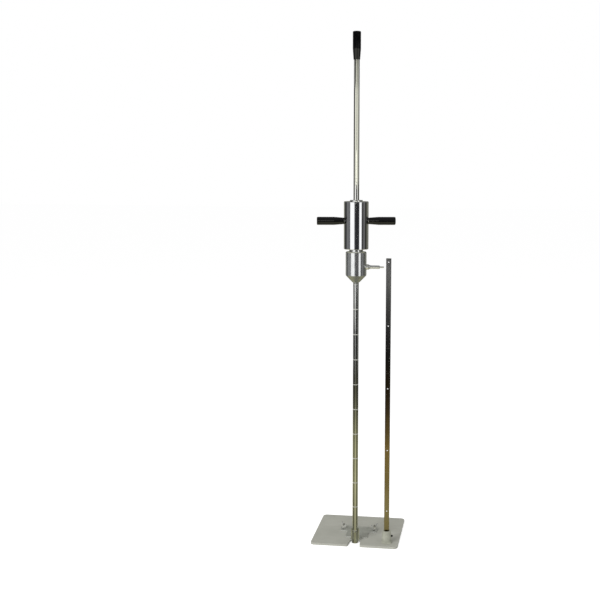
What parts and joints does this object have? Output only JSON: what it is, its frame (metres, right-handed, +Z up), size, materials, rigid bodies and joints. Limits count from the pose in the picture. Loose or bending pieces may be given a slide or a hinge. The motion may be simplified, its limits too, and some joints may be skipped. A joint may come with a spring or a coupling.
{
  "type": "soil penetrometer",
  "caption": "Light dynamic soil penetrometer: drop hammer on a guide rod, anvil with pointer and ringed sounding rod, standing in a notched base plate beside its measuring bar.",
  "frame": {"origin": "middle of the base plate's underside, on the ground", "axes": "+Z up along the rods, +X to the right towards the measuring bar, -Y to the front edge with the notch"},
  "size_m": [0.35, 0.33, 2.009],
  "materials": {
    "plate_paint": "satin grey paint on sheet steel",
    "socket_paint": "satin light grey paint on a turned socket",
    "guide_zinc": "dull zinc plating",
    "fastener_zinc": "bright zinc plating",
    "black_steel": "black oxide",
    "bar_steel": "ground flat bar, grey",
    "rod_steel": "drawn steel, ground smooth",
    "anvil_chrome": "satin chrome on turned steel",
    "bright_chrome": "polished chrome",
    "plain_steel": "plain machined steel",
    "grip_black": "glossy moulded black plastic",
    "insert_brass": "machined brass"
  },
  "bodies": {
    "base": {"base_plate": "plate_paint", "bar_socket": "socket_paint", "socket_fixing_screw": "fastener_zinc", "clamp_studs": "fastener_zinc", "clamp_washers": "fastener_zinc"},
    "rod_line": {"cone_holder": "rod_steel", "holder_stud": "plain_steel", "sounding_rod": "rod_steel", "rod_stud": "plain_steel", "anvil": "anvil_chrome", "pointer_collar": "bright_chrome", "pointer": "bright_chrome", "guide_rod": "bright_chrome", "grip_top": "grip_black", "grip_insert_top": "insert_brass"},
    "hammer": {"hammer_weight": "bright_chrome", "upper_bush": "bright_chrome", "lower_bush": "plain_steel", "handle_stud_left": "plain_steel", "handle_collar_left": "fastener_zinc", "grip_left": "grip_black", "grip_insert_left": "insert_brass", "handle_stud_right": "plain_steel", "handle_collar_right": "fastener_zinc", "grip_right": "grip_black", "grip_insert_right": "insert_brass"},
    "rod_guide": {"guide_plate": "guide_zinc", "rod_saddle": "guide_zinc"},
    "wing_nut_left": {"wing_nut_left": "fastener_zinc"},
    "wing_nut_right": {"wing_nut_right": "fastener_zinc"},
    "measuring_bar": {"measuring_bar": "bar_steel"},
    "bar_clamp_screw": {"bar_clamp_screw": "black_steel"}
  },
  "joints": [
    {"name": "rod_drive", "type": "slide", "parent": "base", "child": "rod_line", "axis": [0, 0, -1], "range_m": [0, 0.995]},
    {"name": "hammer_lift", "type": "slide", "parent": "rod_line", "child": "hammer", "axis": [0, 0, 1], "range_m": [0, 0.5275]},
    {"name": "guide_release", "type": "slide", "parent": "base", "child": "rod_guide", "axis": [0, 1, 0], "range_m": [0, 0.016]},
    {"name": "left_nut_turn", "type": "hinge", "parent": "base", "child": "wing_nut_left", "pos_m": [-0.064, 0.009, 0.0136], "axis": [0, 0, 1], "range_deg": [0, 360]},
    {"name": "right_nut_turn", "type": "hinge", "parent": "base", "child": "wing_nut_right", "pos_m": [0.064, 0.009, 0.0136], "axis": [0, 0, 1], "range_deg": [0, 360]},
    {"name": "bar_lift", "type": "slide", "parent": "base", "child": "measuring_bar", "axis": [0, 0, 1], "range_m": [0, 0.0375]},
    {"name": "bar_clamp_turn", "type": "hinge", "parent": "base", "child": "bar_clamp_screw", "pos_m": [0.1275, -0.117, 0.036], "axis": [1, 0, 0], "range_deg": [0, 360]}
  ]
}
